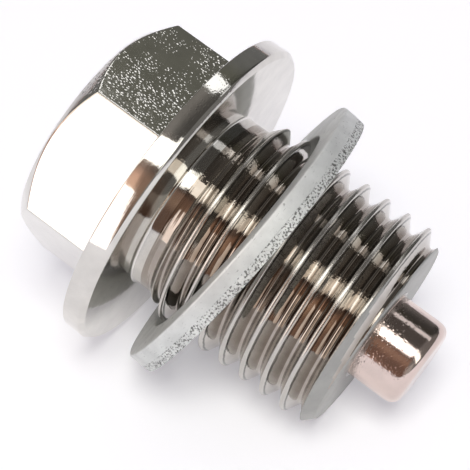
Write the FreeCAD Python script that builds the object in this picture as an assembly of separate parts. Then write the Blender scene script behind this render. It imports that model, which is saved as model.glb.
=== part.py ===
import FreeCAD, Part
import math
import os

from FreeCAD import Vector

# Oil drain plug, M14 x 1.5, with its loose sealing washer and its magnet.
# Every piece is drawn about the plug's own axis and then laid down with it.
# On that axis Z runs from the head to the magnet, and Z = 0 is the flange's sealing face.
# Azimuths about the axis are in degrees from straight up, right-handed about Z.
# Once laid down, the plug points along +X, and the origin is on the floor,
# under the middle of the whole part.

# Thread (mm)
THREAD_DIAMETER = 13.94
PITCH = 1.5
CREST_FLAT = PITCH / 8
THREAD_DEPTH = 0.6134 * PITCH
FLANK_ANGLE = 30.0
CREST_AZIMUTH = -53.0
CREST_STATION = 6.76
CUTTER_RISE = 0.1

# Shank
SHANK_LENGTH = 13.9
END_CHAMFER = 0.8
NECK_LENGTH = 1.5
NECK_DIAMETER = 12.0
NECK_FOOT_CHAMFER = 0.18
NECK_CONE_ANGLE = 45.0

# Flange
FLANGE_DIAMETER = 21.25
FLANGE_THICKNESS = 1.5
RIM_CHAMFER = 0.27
RIM_BACK_CHAMFER = 0.1

# Hexagon head
ACROSS_FLATS = 14.45
HEAD_HEIGHT = 6.15
HEAD_CHAMFER_ANGLE = 42.0
HEAD_FACE_DIAMETER = 14.0
HEX_CORNER_AZIMUTH = 22.0
HEX_CORNER_ROUND = 0.25

# Magnet and its blind bore
MAGNET_DIAMETER = 5.7
MAGNET_PROUD = 3.4
MAGNET_SEAT_DEPTH = 5.0
MAGNET_END_ROUND = 0.85
MAGNET_FOOT_CHAMFER = 0.2
MAGNET_CLEARANCE = 0.02
BORE_MOUTH_CHAMFER = 0.2
DRILL_POINT_ANGLE = 59.0

# Sealing washer, blanked from sheet
WASHER_DIAMETER = 19.75
WASHER_BORE = 15.0
WASHER_THICKNESS = 1.5
WASHER_SHEAR_SHARE = 0.6
WASHER_EDGE_CHAMFER = 0.12
WASHER_BREAK_TAPER = 0.03
WASHER_PLAY = 0.03
WASHER_STATION = 4.08
WASHER_LEAN_AZIMUTH = 197.0

thread_radius = THREAD_DIAMETER / 2
root_radius = thread_radius - THREAD_DEPTH
neck_radius = NECK_DIAMETER / 2
flange_radius = FLANGE_DIAMETER / 2
chamfer_station = SHANK_LENGTH - END_CHAMFER


def point(radius, station):
    return Vector(radius, 0, station)


def turned(edges):
    """A solid of revolution about Z from a closed outline in the XZ plane."""
    face = Part.Face(Part.Wire(edges))
    return face.revolve(Vector(0, 0, 0), Vector(0, 0, 1), 360)


def outline(points):
    """Straight edges through the points, closed at the end."""
    return list(Part.makePolygon(points + points[:1]).Edges)


def quarter_arc(start, centre_radius, centre_station, end):
    """The round that joins start to end about a centre, each a point in the XZ plane."""
    centre = point(centre_radius, centre_station)
    reach = (start - centre).Length
    middle = (start - centre) + (end - centre)
    middle.normalize()
    return Part.Arc(start, centre + middle * reach, end).toShape()


def line(start, end):
    return Part.LineSegment(start, end).toShape()


def turned_blank():
    """Flange, neck and unthreaded shank as one turned solid."""
    back = -FLANGE_THICKNESS
    cone_length = (thread_radius - neck_radius) / math.tan(math.radians(NECK_CONE_ANGLE))
    return turned(outline([
        point(0, back),
        point(flange_radius - RIM_BACK_CHAMFER, back),
        point(flange_radius, back + RIM_BACK_CHAMFER),
        point(flange_radius, -RIM_CHAMFER),
        point(flange_radius - RIM_CHAMFER, 0),
        point(neck_radius + NECK_FOOT_CHAMFER, 0),
        point(neck_radius, NECK_FOOT_CHAMFER),
        point(neck_radius, NECK_LENGTH),
        point(thread_radius, NECK_LENGTH + cone_length),
        point(thread_radius, chamfer_station),
        point(thread_radius - END_CHAMFER, SHANK_LENGTH),
        point(0, SHANK_LENGTH),
    ]))


def thread_groove():
    """One helical V groove with a flat root, from beside the neck to past the tip."""
    slope = math.tan(math.radians(FLANK_ANGLE))
    outer_half = (PITCH - CREST_FLAT) / 2 + CUTTER_RISE * slope
    root_half = (PITCH - CREST_FLAT) / 2 - THREAD_DEPTH * slope
    groove_station = CREST_STATION + PITCH / 2
    start = NECK_LENGTH / 2
    start_azimuth = CREST_AZIMUTH - 360 * (groove_station - start) / PITCH
    length = SHANK_LENGTH + PITCH - start
    helix = Part.makeLongHelix(PITCH, length, thread_radius, 0)
    outer_radius = thread_radius + CUTTER_RISE
    profile = Part.Wire(outline([
        point(root_radius, -root_half),
        point(outer_radius, -outer_half),
        point(outer_radius, outer_half),
        point(root_radius, root_half),
    ]))
    groove = Part.Wire(helix.Edges).makePipeShell([profile], True, True)
    groove.translate(Vector(0, 0, start))
    groove.rotate(Vector(0, 0, 0), Vector(0, 0, 1), start_azimuth)
    return groove


def hexagon_head():
    """Hexagon with rounded corners, turned down to a conical chamfer at its end."""
    corner_radius = ACROSS_FLATS / math.sqrt(3)
    corners = []
    for i in range(6):
        azimuth = math.radians(HEX_CORNER_AZIMUTH + 60 * i)
        corners.append(Vector(corner_radius * math.cos(azimuth), corner_radius * math.sin(azimuth), 0))
    face = Part.Face(Part.Wire(outline(corners)))
    prism = face.extrude(Vector(0, 0, -HEAD_HEIGHT))
    upright = [e for e in prism.Edges if e.BoundBox.ZLength > HEAD_HEIGHT / 2]
    prism = prism.makeFillet(HEX_CORNER_ROUND, upright)
    inner = point(HEAD_FACE_DIAMETER / 2, -HEAD_HEIGHT)
    spread = 2 * (corner_radius - inner.x)
    outer = inner + point(spread, spread * math.tan(math.radians(HEAD_CHAMFER_ANGLE)))
    cap = turned(outline([
        point(0, -HEAD_HEIGHT),
        inner,
        outer,
        point(outer.x, 0),
        point(0, 0),
    ]))
    # As a spline surface the cone meets the flats in plain spline edges.
    head = prism.common(cap.toNurbs())
    head.translate(Vector(0, 0, -FLANGE_THICKNESS))
    return head


def magnet_bore():
    """Blind drilled bore in the end of the shank, with its mouth chamfered."""
    radius = MAGNET_DIAMETER / 2 + MAGNET_CLEARANCE
    floor = SHANK_LENGTH - MAGNET_SEAT_DEPTH - MAGNET_CLEARANCE
    drill_tip = floor - radius / math.tan(math.radians(DRILL_POINT_ANGLE))
    above = SHANK_LENGTH + CUTTER_RISE
    return turned(outline([
        point(0, drill_tip),
        point(radius, floor),
        point(radius, SHANK_LENGTH - BORE_MOUTH_CHAMFER),
        point(radius + BORE_MOUTH_CHAMFER, SHANK_LENGTH),
        point(radius + BORE_MOUTH_CHAMFER, above),
        point(0, above),
    ]))


def plug_body():
    body = turned_blank().cut(thread_groove())
    body = body.cut(magnet_bore())
    return body.fuse(hexagon_head())


def magnet():
    """Cylinder with a rounded free end and a small chamfer at its seated end."""
    radius = MAGNET_DIAMETER / 2
    foot = SHANK_LENGTH - MAGNET_SEAT_DEPTH
    top = SHANK_LENGTH + MAGNET_PROUD
    round_side = point(radius, top - MAGNET_END_ROUND)
    round_top = point(radius - MAGNET_END_ROUND, top)
    edges = [
        line(point(0, foot), point(radius - MAGNET_FOOT_CHAMFER, foot)),
        line(point(radius - MAGNET_FOOT_CHAMFER, foot), point(radius, foot + MAGNET_FOOT_CHAMFER)),
        line(point(radius, foot + MAGNET_FOOT_CHAMFER), round_side),
        quarter_arc(round_side, radius - MAGNET_END_ROUND, top - MAGNET_END_ROUND, round_top),
        line(round_top, point(0, top)),
        line(point(0, top), point(0, foot)),
    ]
    return turned(edges)


def washer_tilt():
    """The angle at which the bore's edges are just clear of the thread, in degrees."""
    bore_radius = WASHER_BORE / 2
    half_sheet = WASHER_THICKNESS / 2
    diagonal = math.hypot(bore_radius, half_sheet)
    narrowest = thread_radius + WASHER_PLAY
    return math.degrees(math.acos(narrowest / diagonal) - math.atan2(half_sheet, bore_radius))


def sealing_washer():
    """Flat ring: softened head-side edges, a sheared band, then a tapering broken band."""
    outer = WASHER_DIAMETER / 2
    inner = WASHER_BORE / 2
    head_side = -WASHER_THICKNESS / 2
    tip_side = WASHER_THICKNESS / 2
    break_start = head_side + WASHER_THICKNESS * WASHER_SHEAR_SHARE
    ring = turned(outline([
        point(outer - WASHER_EDGE_CHAMFER, head_side),
        point(outer, head_side + WASHER_EDGE_CHAMFER),
        point(outer, break_start),
        point(outer - WASHER_BREAK_TAPER, tip_side),
        point(inner + WASHER_BREAK_TAPER, tip_side),
        point(inner, break_start),
        point(inner, head_side + WASHER_EDGE_CHAMFER),
        point(inner + WASHER_EDGE_CHAMFER, head_side),
    ]))
    lean = math.radians(WASHER_LEAN_AZIMUTH)
    tilt_axis = Vector(-math.sin(lean), math.cos(lean), 0)
    ring.rotate(Vector(0, 0, 0), tilt_axis, washer_tilt())
    ring.translate(Vector(0, 0, WASHER_STATION))
    return ring


def underside_contact():
    """Station of the last full crest on the side that lies on the floor."""
    below = CREST_STATION + PITCH * (180 - CREST_AZIMUTH) / 360
    turns = math.floor((chamfer_station - CREST_FLAT / 2 - below) / PITCH)
    return below + turns * PITCH + CREST_FLAT / 2


def resting_slope():
    """How far the axis dips towards the tip, resting on flange rim and last crest."""
    drop = flange_radius - thread_radius
    return math.atan2(drop, underside_contact() + RIM_CHAMFER)


def lay_down(pieces):
    """Turn the pieces from the plug's axis to how they rest, centred over the origin."""
    slope = resting_slope()
    up = Vector(math.sin(slope), 0, math.cos(slope))
    along = Vector(math.cos(slope), 0, -math.sin(slope))
    turn = FreeCAD.Rotation(up, along.cross(up), along, "ZXY")
    height = flange_radius * math.cos(slope) - RIM_CHAMFER * math.sin(slope)
    laid = {}
    for name, shape in pieces.items():
        placed = shape.copy()
        placed.Placement = FreeCAD.Placement(Vector(0, 0, height), turn).multiply(placed.Placement)
        laid[name] = placed
    box = Part.makeCompound(list(laid.values())).optimalBoundingBox(False, False)
    for shape in laid.values():
        shape.translate(Vector(-box.Center.x, -box.Center.y, -box.ZMin))
    return laid


def build():
    os.makedirs("parts", exist_ok=True)
    pieces = {
        "plug_body": plug_body(),
        "sealing_washer": sealing_washer(),
        "magnet": magnet(),
    }
    for name, shape in lay_down(pieces).items():
        shape.exportStep(os.path.join("parts", name + ".step"))
        box = shape.optimalBoundingBox(False, False)
        print(name, shape.ShapeType, "solids", len(shape.Solids), "volume", round(shape.Volume, 2))
        print("  low ", [round(v, 3) for v in (box.XMin, box.YMin, box.ZMin)])
        print("  high", [round(v, 3) for v in (box.XMax, box.YMax, box.ZMax)])
    print("resting slope", round(math.degrees(resting_slope()), 3), "washer tilt", round(washer_tilt(), 3))


build()
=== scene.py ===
import math

import bmesh
import bpy
import numpy as np
from mathutils import Matrix, Vector, noise


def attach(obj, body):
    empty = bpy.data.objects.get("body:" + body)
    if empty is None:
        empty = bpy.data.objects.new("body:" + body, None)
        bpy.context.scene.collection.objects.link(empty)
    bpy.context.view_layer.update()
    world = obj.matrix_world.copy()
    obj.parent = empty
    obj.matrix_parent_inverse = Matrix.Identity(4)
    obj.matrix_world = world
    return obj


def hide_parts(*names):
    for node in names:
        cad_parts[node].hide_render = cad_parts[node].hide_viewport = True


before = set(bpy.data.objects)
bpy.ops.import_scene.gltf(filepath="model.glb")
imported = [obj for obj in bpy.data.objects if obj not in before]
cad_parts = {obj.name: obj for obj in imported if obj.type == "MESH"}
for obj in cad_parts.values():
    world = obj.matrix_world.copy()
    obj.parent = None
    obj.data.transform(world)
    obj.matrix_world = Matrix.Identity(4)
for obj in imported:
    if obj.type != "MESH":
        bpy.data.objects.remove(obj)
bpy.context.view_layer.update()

# A magnetic oil drain plug with a loose washer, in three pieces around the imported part.
# Sizes are in mm and angles in degrees, unless a heading says otherwise. In the plug's own axes Z runs from
# head to magnet, X points up and Y to the front. ORIGIN and PLUG_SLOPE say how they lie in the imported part.
MM = 0.001
ORIGIN = Vector((-3.9539, 0.0, 10.1291))
PLUG_SLOPE = 16.1829

# Thread and shank
THREAD_RADIUS = 6.97
PITCH = 1.5
THREAD_DEPTH = 0.9201
CREST_FLAT = PITCH / 8
FLANK_ANGLE = 30
FLANK_SLOPE = math.tan(math.radians(FLANK_ANGLE))
CREST_AZIMUTH = -53.0
CREST_STATION = 6.76
SHANK_LENGTH = 13.9
END_CHAMFER = 0.8
CHAMFER_START = SHANK_LENGTH - END_CHAMFER
NECK_LENGTH = 1.5
NECK_RADIUS = 6.0

# How softly the surfaces of the threaded shank run into each other
ROOT_BLEND = 0.16
CREST_BLEND = 0.10
BLANK_BLEND = 0.05
RUNOUT_BLEND = 0.03

# Flange and head
FLANGE_RADIUS = 10.625
FLANGE_THICKNESS = 1.5
RIM_CHAMFER = 0.27
ACROSS_FLATS = 14.45
HEAD_HEIGHT = 6.15
HEAD_FACE_RADIUS = 7.0
HEAD_CHAMFER_ANGLE = 42.0
HEX_CORNER_AZIMUTH = 22.0
HEX_CORNER_ROUND = 0.13
SIDES = 6
SIDE_ANGLE = 360 / SIDES
HALF_SIDE_ANGLE = SIDE_ANGLE / 2

# Softening of the plug's edges
EDGE_SOFTENING = 0.12
HEX_CHAMFER_SOFTENING = 0.10
RIM_SOFTENING = 0.07
NECK_SOFTENING = 0.2
BORE_SOFTENING = 0.05

# Magnet and bore
MAGNET_RADIUS = 2.85
MAGNET_PROUD = 3.4
MAGNET_SEAT_DEPTH = 5.0
MAGNET_END_SOFTENING = 0.8925
MAGNET_FOOT_SOFTENING = 0.2
MAGNET_CLEARANCE = 0.02
BORE_RADIUS = MAGNET_RADIUS + MAGNET_CLEARANCE
BORE_MOUTH = 0.2
DRILL_HALF_ANGLE = 59

# Washer, with its crumbs in grains per mm
WASHER_RADIUS = 9.875
WASHER_BORE_RADIUS = 7.5
WASHER_THICKNESS = 1.5
WASHER_SHEAR_SHARE = 0.6
WASHER_TILT = 16.056
WASHER_STATION = 4.08
WASHER_LEAN_AZIMUTH = 197.0
OUTER_ROLL = 0.16
BORE_ROLL = 0.12
TEAR_SOFTENING = 0.02
TORN_MARGIN = 0.03
TORN_INSET = 0.02
TORN_TAPER = 0.012
TORN_EDGE_INSET = 0.035
TORN_EDGE_SOFTENING = 0.03
TORN_BORE_INSET = 0.03
TORN_BORE_SOFTENING = 0.04
CRUMBLE_DEPTH = 0.012
COARSE_CRUMBS = 3.1
FINE_CRUMBS = 7.3
FINE_CRUMB_SHARE = 0.6

# Mesh density. The plug's columns fan out from each corner of the hexagon, and its rings follow the thread
# at these distances to both sides of a root.
CORNER_FAN = [0.0, 0.22, 0.5, 0.8, 1.15, 1.6]
FLAT_COLUMNS = 15
ROOT_RINGS = [
    0.0, 0.05, 0.09, 0.12, 0.15, 0.20, 0.27, 0.35,
    0.43, 0.51, 0.575, 0.615, 0.64, 0.66, 0.685, 0.715,
]
THREAD_RINGS_START = NECK_LENGTH / 2
CORNER_STEPS = 4
MAGNET_CORNER_STEPS = 12
MAGNET_COLUMNS = 144
WASHER_COLUMNS = 720
TORN_RINGS = 12
MERGE_DISTANCE = 0.0002


def plug_matrix():
    slope = math.radians(PLUG_SLOPE)
    up = Vector((math.sin(slope), 0, math.cos(slope)))
    along = Vector((math.cos(slope), 0, -math.sin(slope)))
    side = along.cross(up)
    turn = Matrix((up, side, along)).transposed().to_4x4()
    return Matrix.Translation(ORIGIN * MM) @ turn


PLUG = plug_matrix()


def washer_matrix():
    """The washer's own axes: middle of the ring, Z towards the magnet."""
    lean = math.radians(WASHER_LEAN_AZIMUTH)
    hinge = Vector((-math.sin(lean), math.cos(lean), 0))
    tilt = Matrix.Rotation(math.radians(WASHER_TILT), 4, hinge)
    return PLUG @ Matrix.Translation((0, 0, WASHER_STATION * MM)) @ tilt


WASHER = washer_matrix()


# Meshes from rings

def column_azimuths():
    """Azimuths, closer together at the hexagon's corners. First and last are the same line."""
    corner = [-a for a in CORNER_FAN[:0:-1]] + CORNER_FAN
    flat = list(np.linspace(CORNER_FAN[-1], HALF_SIDE_ANGLE, FLAT_COLUMNS))[1:]
    sector = corner + flat + [SIDE_ANGLE - a for a in flat[-2::-1]]
    columns = [HEX_CORNER_AZIMUTH + SIDE_ANGLE * k + a for k in range(SIDES) for a in sector]
    return np.array(columns + [columns[0] + 360])


def hexagon_radius(azimuths):
    """Distance from the axis to the hexagon's wall, with its corners rounded."""
    away = np.abs((azimuths - HEX_CORNER_AZIMUTH + HALF_SIDE_ANGLE) % SIDE_ANGLE - HALF_SIDE_ANGLE)
    flat = ACROSS_FLATS / 2 / np.cos(np.radians(HALF_SIDE_ANGLE - away))
    half_side = math.radians(HALF_SIDE_ANGLE)
    centre = (ACROSS_FLATS / 2 - HEX_CORNER_ROUND) / math.cos(half_side)
    turned = np.radians(away)
    inside = HEX_CORNER_ROUND ** 2 - (centre * np.sin(turned)) ** 2
    arc_radius = centre * np.cos(turned) + np.sqrt(np.maximum(inside, 0))
    tangent_at = math.atan2(HEX_CORNER_ROUND / 2, centre + HEX_CORNER_ROUND * math.cos(half_side))
    return np.where(away < math.degrees(tangent_at), arc_radius, flat)


def softened(path, steps=CORNER_STEPS):
    """Rings along a path of (radius, station, softening), each corner rounded by a short curve."""
    shortest, most_of_a_side = 1e-9, 0.45
    count = max(np.size(radius) for radius, station, softening in path)
    full = []
    for radius, station, softening in path:
        ring = [np.broadcast_to(value, count).astype(float) for value in (radius, station)]
        full.append((*ring, softening))
    rings = []
    for i, (radius, station, softening) in enumerate(full):
        if softening == 0:
            rings.append((radius, station))
            continue
        ends = []
        for other in (full[i - 1], full[i + 1]):
            outward, onward = other[0] - radius, other[1] - station
            length = np.maximum(np.hypot(outward, onward), shortest)
            reach = np.minimum(softening, length * most_of_a_side)
            ends.append((radius + outward / length * reach, station + onward / length * reach))
        corners = (ends[0], (radius, station), ends[1])
        for t in np.linspace(0, 1, steps + 1):
            weights = ((1 - t) ** 2, 2 * t * (1 - t), t ** 2)
            rings.append(tuple(sum(w * corner[k] for w, corner in zip(weights, corners)) for k in (0, 1)))
    return rings


def ring_count(path):
    """How many rings softened() makes of a path."""
    return sum(CORNER_STEPS + 1 if softening else 1 for radius, station, softening in path)


def smooth_low(a, b, width):
    """The lower of two values, blended over a width."""
    near = np.maximum(width - np.abs(a - b), 0) / width
    return np.minimum(a, b) - near * near * width / 4


def thread_radius(station, azimuth):
    """Radius of the threaded shank, crests and roots slightly rounded, run out at both ends."""
    along = station - CREST_STATION - PITCH * (azimuth - CREST_AZIMUTH) / 360
    from_root = np.abs(along % PITCH - PITCH / 2)
    root_half = (PITCH - CREST_FLAT) / 2 - THREAD_DEPTH * FLANK_SLOPE
    climb = (from_root - root_half) / FLANK_SLOPE
    climb = -smooth_low(-climb, np.zeros_like(climb), ROOT_BLEND)
    climb = smooth_low(climb, np.full_like(climb, THREAD_DEPTH), CREST_BLEND)
    thread = THREAD_RADIUS - THREAD_DEPTH + climb
    lead_in = NECK_RADIUS + np.maximum(station - NECK_LENGTH, 0)
    lead_out = THREAD_RADIUS - (station - CHAMFER_START)
    blank = smooth_low(lead_in, lead_out, BLANK_BLEND)
    blank = smooth_low(blank, np.full_like(station, THREAD_RADIUS), BLANK_BLEND)
    return smooth_low(blank, thread, RUNOUT_BLEND)


def thread_rings(azimuths):
    """Rings that follow the thread's helix from the neck to the shank's end, and are cut off there."""
    turns_to_spare = 3
    first = math.floor((THREAD_RINGS_START - CREST_STATION) / PITCH) - turns_to_spare
    last = math.ceil((SHANK_LENGTH - CREST_STATION) / PITCH)
    lead = PITCH * (azimuths - CREST_AZIMUTH) / 360
    across = [-PITCH / 2] + [-u for u in ROOT_RINGS[:0:-1]] + ROOT_RINGS
    rings = []
    for turn in range(first, last + 1):
        for from_root in across:
            station = CREST_STATION + (turn + 0.5) * PITCH + from_root + lead
            if station.max() < THREAD_RINGS_START or station.min() > SHANK_LENGTH:
                continue
            station = np.clip(station, THREAD_RINGS_START, SHANK_LENGTH)
            rings.append((thread_radius(station, azimuths), station))
    return rings


def turned_rows(rings, azimuths):
    """Rows of points from rings of (radius, station)."""
    cosine, sine = np.cos(np.radians(azimuths)), np.sin(np.radians(azimuths))
    rows = []
    for radius, station in rings:
        rows.append(np.stack([radius * cosine, radius * sine, np.broadcast_to(station, sine.shape)], -1))
    return rows


def grid_mesh(name, rows, axes, materials, slots=None):
    """A closed mesh from rows of points; the last column is the first one again.

    Each row has a material slot, which the faces between it and the next row take.
    """
    points = np.array(rows, float) * MM
    high, wide = points.shape[:2]
    points = points @ np.array(axes.to_3x3()).T + np.array(axes.translation)
    index = np.arange(high * wide).reshape(high, wide)
    quads = np.stack([index[:-1, :-1], index[:-1, 1:], index[1:, 1:], index[1:, :-1]], -1)
    mesh = bpy.data.meshes.new(name)
    mesh.from_pydata(points.reshape(-1, 3).tolist(), [], quads.reshape(-1, 4).tolist())
    for material in materials:
        mesh.materials.append(material)
    if slots is not None:
        mesh.polygons.foreach_set("material_index", np.repeat(slots[:-1], wide - 1).astype(np.int32))
    work = bmesh.new()
    work.from_mesh(mesh)
    bmesh.ops.remove_doubles(work, verts=work.verts, dist=MERGE_DISTANCE * MM)
    bmesh.ops.dissolve_degenerate(work, edges=work.edges, dist=MERGE_DISTANCE * MM)
    bmesh.ops.recalc_face_normals(work, faces=work.faces)
    work.to_mesh(mesh)
    work.free()
    mesh.shade_smooth()
    piece = bpy.data.objects.new(name, mesh)
    bpy.context.scene.collection.objects.link(piece)
    return piece


# Nodes

class Nodes:
    """Short calls for building the nodes of a material or of the world."""

    def __init__(self, tree):
        self.tree = tree

    def add(self, kind, inputs=(), **settings):
        node = self.tree.nodes.new("ShaderNode" + kind)
        for key, value in settings.items():
            setattr(node, key, value)
        for socket, value in dict(inputs).items():
            if isinstance(value, bpy.types.NodeSocket):
                self.tree.links.new(value, node.inputs[socket])
            else:
                node.inputs[socket].default_value = value
        return node

    def math(self, operation, a, b=0.0):
        return self.add("Math", {0: a, 1: b}, operation=operation).outputs[0]

    def split(self, vector):
        return self.add("SeparateXYZ", {"Vector": vector}).outputs

    def joined(self, x, y, z):
        return self.add("CombineXYZ", {0: x, 1: y, 2: z}).outputs[0]

    def fade(self, value, start, end, low=0.0, high=1.0):
        """Low up to start, high from end on, and evenly between them."""
        sockets = {"Value": value, "From Min": start, "From Max": end, "To Min": low, "To Max": high}
        return self.add("MapRange", sockets).outputs[0]

    def mix(self, share, a, b, blend="MIX"):
        """Two colours, the second laid over the first."""
        return self.add("Mix", {0: share, 6: a, 7: b}, data_type="RGBA", blend_type=blend).outputs[2]

    def ramp(self, value, stops):
        node = self.add("ValToRGB", {"Fac": value})
        elements = node.color_ramp.elements
        while len(elements) < len(stops):
            elements.new(0.5)
        for element, (at, colour) in zip(elements, stops):
            element.position = at
            element.color = (*colour, 1)
        return node.outputs["Color"]

    def noise(self, vector, scale, detail=2.0, roughness=0.5):
        sockets = {"Vector": vector, "Scale": scale, "Detail": detail, "Roughness": roughness}
        return self.add("TexNoise", sockets).outputs["Fac"]


class Surface(Nodes):
    """The nodes of a material, on a piece with these axes."""

    def __init__(self, name, axes=PLUG):
        self.axes = axes
        self.material = bpy.data.materials.new(name)
        self.material.use_nodes = True
        super().__init__(self.material.node_tree)
        self.shader = self.tree.nodes["Principled BSDF"]

    def place(self):
        """Position in the piece's own axes, in mm."""
        sockets = {
            "Vector": self.add("TexCoord").outputs["Object"],
            "Location": self.axes.translation,
            "Rotation": self.axes.to_euler(),
            "Scale": (MM, MM, MM),
        }
        return self.add("Mapping", sockets, vector_type="TEXTURE").outputs[0]

    def radius(self, where):
        """Distance from the piece's axis."""
        x, y = self.split(where)[:2]
        square = self.math("ADD", self.math("MULTIPLY", x, x), self.math("MULTIPLY", y, y))
        return self.math("SQRT", square)

    def bump(self, height, distance, normal):
        sockets = {"Height": height, "Distance": distance * MM}
        if normal is not None:
            sockets["Normal"] = normal
        return self.add("Bump", sockets).outputs["Normal"]

    def feed(self, socket, value):
        self.tree.links.new(value, self.shader.inputs[socket])


# Patterns, each a value or a colour over the piece. The scale of a noise is its grains per mm. The specks
# end over a range of the plug's Y, and the patterns of the thread change over ranges of its radius.

SPECKS_END = (2.95, 3.3)
PATCH_EDGE = 0.08
# The painted shade in the thread's roots and the painted dark line under its crests run over these radii.
ROOT_SHADE_RADII = (6.25, 6.95)
CREST_LINE_RADII = (6.6, 7.1)
DULL_RADII = (6.92, 6.955)
DULL_ROUGHNESS = 0.26
UNCHANGED = (1.0, 1.0, 1.0)
# Colours of the painted shade in the thread's roots and of the painted dark line under its crests.
PAINTED_ROOT_SHADE = (0.64, 0.59, 0.55)
PAINTED_CREST_LINE = (0.2, 0.2, 0.19)
DARK_SPOT = (0.22, 0.22, 0.21)
BRIGHT_GRAIN = (1.1, 1.1, 1.1)
GRAIN = (0.95, 0.95, 0.95)
FAINT_SPECK = (0.4, 0.4, 0.39)


def off_the_front(nodes, where):
    """1 all round the plug, but 0 on its front, which stayed smooth."""
    return nodes.fade(nodes.split(where)[1], *SPECKS_END, low=1.0, high=0.0)


def specks(nodes, where, per_mm, size, cover):
    """Small raised specks, 1 in the middle of each. They come in patches, more of them with more cover."""
    cells = nodes.add("TexVoronoi", {"Vector": where, "Scale": per_mm}).outputs["Distance"]
    speck = nodes.fade(cells, 0.0, size, low=1.0, high=0.0)
    patches = nodes.noise(where, scale=0.55, detail=3.0, roughness=0.6)
    mask = nodes.fade(patches, 1 - cover, 1 + PATCH_EDGE - cover)
    return nodes.math("MULTIPLY", nodes.math("MULTIPLY", speck, mask), off_the_front(nodes, where))


def coarse_specks(nodes, where):
    return specks(nodes, where, per_mm=3.2, size=0.34, cover=0.52)


def fine_specks(nodes, where):
    return specks(nodes, where, per_mm=5.5, size=0.4, cover=0.62)


def peel(nodes, where):
    """Waviness of the plating."""
    return nodes.noise(where, scale=1.6)


def turning(nodes, where):
    """Fine rings left by turning, from radius and station alone."""
    return nodes.noise(nodes.joined(nodes.radius(where), nodes.split(where)[2], 0.0), scale=6.0)


def grain(nodes, where):
    return nodes.noise(where, scale=5.0, detail=4.0, roughness=0.65)


def crumble(nodes, where):
    return nodes.noise(where, scale=7.0, detail=4.0, roughness=0.7)


def wavering_radius(nodes, where, scale, by):
    wave = nodes.math("MULTIPLY", nodes.noise(where, scale, detail=3.0, roughness=0.6), by)
    return nodes.math("ADD", nodes.radius(where), wave)


def painted_root_shade_and_crest_line(nodes, where):
    """Painted shade, darker and brownish, in the roots of the thread, and a thin broken painted dark line
    under its crests.
    """
    from_root = nodes.fade(wavering_radius(nodes, where, scale=1.3, by=0.5), *ROOT_SHADE_RADII)
    roots = nodes.ramp(from_root, [(0.0, PAINTED_ROOT_SHADE), (1.0, UNCHANGED)])
    across = nodes.fade(wavering_radius(nodes, where, scale=3.0, by=0.12), *CREST_LINE_RADII)
    band = [(0.36, UNCHANGED), (0.46, PAINTED_CREST_LINE), (0.56, PAINTED_CREST_LINE), (0.66, UNCHANGED)]
    return nodes.mix(1.0, roots, nodes.ramp(across, band), blend="MULTIPLY")


def dull_crests(nodes, where):
    """Roughness of the crests, rubbed matt, so that each shows as a thin pale line all the way round."""
    return nodes.fade(nodes.radius(where), *DULL_RADII, high=DULL_ROUGHNESS)


def dark_spots(nodes, where):
    """Pepper of small dark spots where the metal broke away."""
    stops = [(0.41, DARK_SPOT), (0.47, GRAIN), (0.6, BRIGHT_GRAIN)]
    return nodes.ramp(nodes.noise(where, scale=7.5, roughness=0.6), stops)


def faint_specks(nodes, where):
    """A few dark specks on the sheet's faces, flattened to short scratches on its smooth edge."""
    x, y, z = nodes.split(where)
    flattened = nodes.joined(x, y, nodes.math("MULTIPLY", z, 5.0))
    stops = [(0.30, FAINT_SPECK), (0.38, UNCHANGED)]
    return nodes.ramp(nodes.noise(flattened, scale=2.6, detail=4.0, roughness=0.7), stops)


# Materials

NICKEL = (0.68, 0.66, 0.62)
# The thread's tint is the head's nickel made darker: painted shade over the whole thread.
SHADED_THREAD_NICKEL = (0.56, 0.535, 0.50)
SATIN = (0.38, 0.38, 0.36)
ROSE = (0.70, 0.58, 0.53)
ALUMINIUM = (0.74, 0.755, 0.73)


def metal(name, tint, rough, bumps, axes=PLUG, worn=0.9, shade=None, metallic=1.0, dull=None):
    """Bare metal: a cloudy tint, uneven gloss, and a pile of (pattern, height in mm) bumps.

    Worn is how dark the clouds are, shade is a pattern that multiplies the tint (real marks on the washer,
    painted shade on the thread), and dull is a pattern that the roughness doesn't fall below.
    """
    nodes = Surface(name, axes)
    nodes.shader.inputs["Metallic"].default_value = metallic
    where = nodes.place()
    clouds = [(0.35, tuple(c * worn for c in tint)), (0.65, tint)]
    colour = nodes.ramp(nodes.noise(where, scale=0.8, detail=3.0), clouds)
    if shade:
        colour = nodes.mix(1.0, colour, shade(nodes, where), blend="MULTIPLY")
    nodes.feed("Base Color", colour)
    gloss = nodes.noise(where, scale=4.0, detail=4.0, roughness=0.6)
    gloss = nodes.fade(gloss, 0.0, 1.0, *rough)
    if dull:
        gloss = nodes.math("MAXIMUM", gloss, dull(nodes, where))
    nodes.feed("Roughness", gloss)
    normal = None
    for pattern, height in bumps:
        normal = nodes.bump(pattern(nodes, where), height, normal)
    nodes.feed("Normal", normal)
    return nodes.material


head_metal = metal(
    "plated_head", NICKEL, rough=(0.07, 0.14),
    bumps=[(peel, 0.005), (coarse_specks, 0.018), (fine_specks, 0.008)],
)
turned_metal = metal(
    "plated_turned", NICKEL, rough=(0.05, 0.11),
    bumps=[(peel, 0.004), (turning, 0.003), (fine_specks, 0.002)],
)
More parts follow.
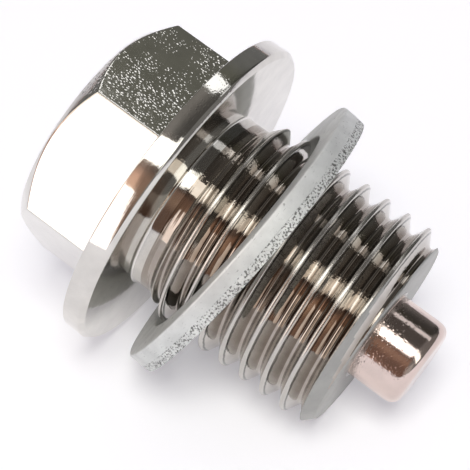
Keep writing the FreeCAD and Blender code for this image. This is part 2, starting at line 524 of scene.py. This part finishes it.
# The thread carries painted shade: a darker tint, darker brownish roots and a dark line under each crest.
thread_metal = metal(
    "plated_thread", SHADED_THREAD_NICKEL, rough=(0.03, 0.08),
    bumps=[(turning, 0.004), (fine_specks, 0.004)], shade=painted_root_shade_and_crest_line, dull=dull_crests,
)
satin_metal = metal("plated_satin", SATIN, rough=(0.36, 0.46), bumps=[(grain, 0.004)])
magnet_metal = metal(
    "magnet_plating", ROSE, rough=(0.09, 0.16),
    bumps=[(peel, 0.006), (coarse_specks, 0.010), (fine_specks, 0.006)],
)
sheet_metal = metal(
    "washer_face", ALUMINIUM, rough=(0.42, 0.56), bumps=[(grain, 0.012)],
    axes=WASHER, worn=0.86, shade=faint_specks, metallic=0.45,
)
torn_metal = metal(
    "washer_edge", ALUMINIUM, rough=(0.40, 0.6), bumps=[(crumble, 0.02)],
    axes=WASHER, worn=0.84, shade=dark_spots, metallic=0.45,
)


# Plug, with its material slots in the order of its materials

HEAD, TURNED, THREAD, SATIN_END = range(4)


def plug_body():
    """One closed mesh, from the middle of the head's face over the shank to the bottom of the bore."""
    azimuths = column_azimuths()
    hexagon = hexagon_radius(azimuths)
    back = -FLANGE_THICKNESS
    head_end = back - HEAD_HEIGHT
    cone = math.tan(math.radians(HEAD_CHAMFER_ANGLE))
    edge = head_end + (hexagon - HEAD_FACE_RADIUS) * cone
    head = [
        (0.0, head_end, 0),
        (HEAD_FACE_RADIUS / 2, head_end, 0),
        (HEAD_FACE_RADIUS, head_end, EDGE_SOFTENING),
        (hexagon, edge, HEX_CHAMFER_SOFTENING),
        (hexagon, back, EDGE_SOFTENING),
    ]
    flange = [
        (FLANGE_RADIUS, back, EDGE_SOFTENING),
        (FLANGE_RADIUS, -RIM_CHAMFER, RIM_SOFTENING),
        (FLANGE_RADIUS - RIM_CHAMFER, 0.0, RIM_SOFTENING),
        (NECK_RADIUS, 0.0, NECK_SOFTENING),
        (NECK_RADIUS, THREAD_RINGS_START, 0),
    ]
    thread = thread_rings(azimuths)
    bore_end = SHANK_LENGTH - MAGNET_SEAT_DEPTH - MAGNET_CLEARANCE
    bore = softened([
        (thread_radius(np.full(azimuths.shape, SHANK_LENGTH), azimuths), SHANK_LENGTH, 0),
        (BORE_RADIUS + BORE_MOUTH, SHANK_LENGTH, BORE_SOFTENING),
        (BORE_RADIUS, SHANK_LENGTH - BORE_MOUTH, BORE_SOFTENING),
        (BORE_RADIUS, bore_end, 0),
        (0.0, bore_end - BORE_RADIUS / math.tan(math.radians(DRILL_HALF_ANGLE)), 0),
    ])
    rows = turned_rows(softened(head + flange) + thread + bore, azimuths)
    slots = [HEAD] * ring_count(head) + [TURNED] * ring_count(flange)
    slots += [THREAD] * len(thread) + [TURNED] * len(bore)
    piece = grid_mesh("plug", rows, PLUG, [head_metal, turned_metal, thread_metal, satin_metal], slots)
    satin_end(piece)
    return piece


def satin_end(piece):
    """The shank's end and its chamfer are less polished than the thread."""
    past_edge, near_cone, near_end = 0.02, 0.05, 0.01
    local = PLUG.inverted()
    for face in piece.data.polygons:
        at = (local @ face.center) / MM
        cone = THREAD_RADIUS - (at.z - CHAMFER_START)
        on_cone = at.z > CHAMFER_START + past_edge and math.hypot(at.x, at.y) > cone - near_cone
        if on_cone or at.z > SHANK_LENGTH - near_end:
            face.material_index = SATIN_END


# Magnet

def magnet():
    azimuths = np.linspace(0, 360, MAGNET_COLUMNS + 1)
    foot = SHANK_LENGTH - MAGNET_SEAT_DEPTH
    top = SHANK_LENGTH + MAGNET_PROUD
    path = [
        (0.0, foot, 0),
        (MAGNET_RADIUS, foot, MAGNET_FOOT_SOFTENING),
        (MAGNET_RADIUS, top, MAGNET_END_SOFTENING),
        (0.0, top, 0),
    ]
    rows = turned_rows(softened(path, MAGNET_CORNER_STEPS), azimuths)
    return grid_mesh("magnet_rod", rows, PLUG, [magnet_metal])


# Washer, with its material slots in the order of its materials

SHEET, TORN = range(2)


def washer():
    """A ring blanked from sheet: rolled over on the head's side, then sheared, then torn."""
    near_rim, past_tear, off_face = 0.1, 0.01, 0.01
    azimuths = np.linspace(0, 360, WASHER_COLUMNS + 1)
    head_side, tip_side = -WASHER_THICKNESS / 2, WASHER_THICKNESS / 2
    tear = head_side + WASHER_THICKNESS * WASHER_SHEAR_SHARE
    path = [
        (WASHER_BORE_RADIUS, tear, 0),
        (WASHER_BORE_RADIUS, head_side, BORE_ROLL),
        (WASHER_RADIUS, head_side, OUTER_ROLL),
        (WASHER_RADIUS, tear, TEAR_SOFTENING),
    ]
    for k, station in enumerate(np.linspace(tear + TORN_MARGIN, tip_side - TORN_MARGIN, TORN_RINGS)):
        path.append((WASHER_RADIUS - TORN_INSET - TORN_TAPER * k / (TORN_RINGS - 1), station, 0))
    path += [
        (WASHER_RADIUS - TORN_EDGE_INSET, tip_side, TORN_EDGE_SOFTENING),
        (WASHER_BORE_RADIUS + TORN_BORE_INSET, tip_side, TORN_BORE_SOFTENING),
        (WASHER_BORE_RADIUS, tear, 0),
    ]
    rings = softened(path)
    rows = turned_rows(rings, azimuths)
    slots = []
    for row, (radius, station) in zip(rows, rings):
        torn = radius[0] > WASHER_RADIUS - near_rim and station[0] > tear + past_tear
        slots.append(TORN if torn else SHEET)
        if torn and station[0] < tip_side - off_face:
            crumbled(row)
    return grid_mesh("washer_ring", rows, WASHER, [sheet_metal, torn_metal], slots)


def crumbled(row):
    """Push a ring of the torn band in and out a little, the same at both ends of the ring."""
    for point in row:
        coarse = noise.noise(Vector(point) * COARSE_CRUMBS)
        fine = noise.noise(Vector(point) * FINE_CRUMBS)
        point[:2] *= 1 + CRUMBLE_DEPTH * (coarse + FINE_CRUMB_SHARE * fine) / WASHER_RADIUS


for piece, node, slot in (
    (plug_body(), "plug_body", "plated_steel"),
    (washer(), "sealing_washer", "washer_aluminium"),
    (magnet(), "magnet", "magnet_plating"),
):
    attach(piece, "root")
    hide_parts(node)


# Floor, in metres. Its glow is the same for the camera and for mirror rays, and lights no matt surface.

FLOOR_HALF = 1.5
FLOOR_COLOUR = (0.9, 0.9, 0.9)
FLOOR_GLOW = 0.27
FLOOR_GLOW_COLOUR = (0.97, 0.95, 1.0)


def pale_floor():
    """Pale floor; a little glow lifts it to white for the camera, and for the metal that mirrors it."""
    nodes = Surface("floor_white")
    nodes.shader.inputs["Roughness"].default_value = 0.9
    nodes.shader.inputs["Specular IOR Level"].default_value = 0.0
    nodes.shader.inputs["Base Color"].default_value = (*FLOOR_COLOUR, 1)
    nodes.shader.inputs["Emission Color"].default_value = (*FLOOR_GLOW_COLOUR, 1)
    path = nodes.add("LightPath")
    seen = nodes.math("MAXIMUM", path.outputs["Is Camera Ray"], path.outputs["Is Glossy Ray"])
    nodes.feed("Emission Strength", nodes.math("MULTIPLY", seen, FLOOR_GLOW))
    corners = [(-1, -1), (1, -1), (1, 1), (-1, 1)]
    mesh = bpy.data.meshes.new("floor")
    mesh.from_pydata([(x * FLOOR_HALF, y * FLOOR_HALF, 0) for x, y in corners], [], [(0, 1, 2, 3)])
    mesh.materials.append(nodes.material)
    piece = bpy.data.objects.new("floor", mesh)
    bpy.context.scene.collection.objects.link(piece)


# World. The camera sees it white and matt surfaces get AMBIENT. The metal doesn't mirror that white: it
# mirrors the ROOM, which is darker and whose walls and fades were set after the reflections in the photo.
# The ROOM's colours run by degrees from the front horizon over the top to the rear one. Each fade runs along
# the mirrored direction's X, positive on the magnet's side: where it starts and ends, and its two levels.

ROOM = [
    (0, (0.36, 0.22, 0.165)),
    (26, (0.36, 0.22, 0.165)),
    (40, (0.66, 0.42, 0.30)),
    (50, (0.60, 0.37, 0.27)),
    (56, (0.22, 0.15, 0.12)),
    (84, (0.16, 0.15, 0.14)),
    (116, (0.15, 0.14, 0.13)),
    (138, (0.085, 0.085, 0.068)),
    (152, (0.10, 0.10, 0.095)),
    (180, (0.11, 0.11, 0.11)),
]
HALF_TURN = 180
LOW_WALL_FADE = (-0.085, -0.02, 1.5, 0.5)
CEILING_FADE = (-0.06, 0.08, 1.6, 0.55)
CEILING_RISE = (50, 60)
END_WALL = (0.20, 0.195, 0.19)
END_WALL_RANGE = (0.36, 0.55)
AMBIENT = (0.38, 0.365, 0.42)
WHITE = (1, 1, 1)


def room_world():
    """White to the camera, the ROOM to mirror rays, and AMBIENT to all others."""
    room = bpy.data.worlds.new("room")
    room.use_nodes = True
    nodes = Nodes(room.node_tree)
    x, y, z = nodes.split(nodes.add("TexCoord").outputs["Generated"])
    rise = nodes.math("ARCTAN2", z, nodes.math("MULTIPLY", y, -1.0))
    share = nodes.math("DIVIDE", rise, math.pi)
    arch = nodes.ramp(share, [(degrees / HALF_TURN, colour) for degrees, colour in ROOM])
    ceiling = nodes.fade(share, *(degrees / HALF_TURN for degrees in CEILING_RISE))
    low, high = nodes.fade(x, *LOW_WALL_FADE), nodes.fade(x, *CEILING_FADE)
    level = nodes.add("Mix", {0: ceiling, 2: low, 3: high}).outputs[0]
    arch = nodes.add("VectorMath", {0: arch, "Scale": level}, operation="SCALE").outputs[0]
    mirrored = nodes.mix(nodes.fade(x, *END_WALL_RANGE), arch, (*END_WALL, 1))
    path = nodes.add("LightPath")
    lit = nodes.mix(path.outputs["Is Glossy Ray"], (*AMBIENT, 1), mirrored)
    seen = nodes.mix(path.outputs["Is Camera Ray"], lit, (*WHITE, 1))
    nodes.tree.links.new(seen, nodes.tree.nodes["Background"].inputs["Color"])
    bpy.context.scene.world = room


# Lamps, with sizes and distances in metres and a level of 1 for white

ALONG_Y = (0, 1, 0)
UPRIGHT = (0, 0, 1)
WARM = (1.0, 0.985, 0.93)
SOFT_WARM = (1.0, 0.985, 0.95)
PEACH = (1.0, 0.95, 0.90)
COOL = (0.97, 0.98, 1.0)
IVORY = (1.0, 1.0, 0.96)


def arc(rise, side):
    """Direction at an angle over the front horizon, turned sideways by side degrees."""
    a, b = math.radians(rise), math.radians(side)
    return (math.sin(b), -math.cos(a) * math.cos(b), math.sin(a) * math.cos(b))


def softbox(name, toward, up, size, level, tint, distance=0.60, mirrored=True):
    """A rectangular lamp of even brightness that faces the part.

    Only mirror rays see it where mirrored is true, and otherwise it lights only matt surfaces.
    """
    data = bpy.data.lights.new(name, "AREA")
    data.shape = "RECTANGLE"
    data.size, data.size_y = size
    data.energy = level * math.pi * size[0] * size[1]
    data.color = tint
    lamp = bpy.data.objects.new(name, data)
    back = Vector(toward).normalized()
    across = Vector(up).cross(back).normalized()
    turn = Matrix((across, back.cross(across), back)).transposed().to_4x4()
    lamp.matrix_world = Matrix.Translation(back * distance) @ turn
    lamp.visible_camera = False
    lamp.visible_glossy = mirrored
    lamp.visible_diffuse = not mirrored
    bpy.context.scene.collection.objects.link(lamp)


def lamps():
    softbox("main_light", arc(69.5, -4), ALONG_Y, size=(0.60, 0.18), level=2.3, tint=WARM)
    softbox("main_right", arc(69.5, 45), ALONG_Y, size=(0.62, 0.18), level=2.0, tint=WARM)
    softbox("main_left", arc(69.5, -50), ALONG_Y, size=(0.50, 0.18), level=2.0, tint=WARM)
    softbox("window_light", arc(22, -20.5), UPRIGHT, size=(0.33, 0.48), level=1.9, tint=WHITE)
    softbox("side_light", arc(16, 40), UPRIGHT, size=(0.34, 0.34), level=0.25, tint=PEACH)
    softbox("tip_light", arc(71, 12), ALONG_Y, size=(0.11, 0.25), level=1.9, tint=SOFT_WARM, distance=0.58)
    softbox("rear_light", arc(129, -16), ALONG_Y, size=(0.40, 0.13), level=1.6, tint=COOL)
    softbox("rear_side", arc(129, 20), ALONG_Y, size=(0.34, 0.11), level=0.9, tint=COOL)
    over_floor = (0.25, -0.35, 0.90)
    softbox("floor_light", over_floor, ALONG_Y, size=(0.22, 0.22), level=13.0, tint=IVORY, mirrored=False)


# Camera, fitted to the outlines in the photo, with its clipping in metres

CAMERA_AT = Vector((44.577, -63.254, 93.489))
CAMERA_RIGHT = Vector((0.82212, 0.56910, -0.01564))
CAMERA_FORWARD = Vector((-0.39468, 0.54992, -0.73608))
SENSOR_WIDTH = 36.0
LENS = 145.53
CLIP_RANGE = (0.005, 20.0)


def photo_camera():
    data = bpy.data.cameras.new("camera")
    data.sensor_width = SENSOR_WIDTH
    data.lens = LENS
    data.clip_start, data.clip_end = CLIP_RANGE
    camera = bpy.data.objects.new("camera", data)
    up = CAMERA_RIGHT.cross(CAMERA_FORWARD)
    turn = Matrix((CAMERA_RIGHT, up, -CAMERA_FORWARD)).transposed().to_4x4()
    camera.matrix_world = Matrix.Translation(CAMERA_AT * MM) @ turn
    bpy.context.scene.collection.objects.link(camera)
    bpy.context.scene.camera = camera


pale_floor()
lamps()
room_world()
photo_camera()
bpy.context.scene.view_settings.view_transform = "Standard"
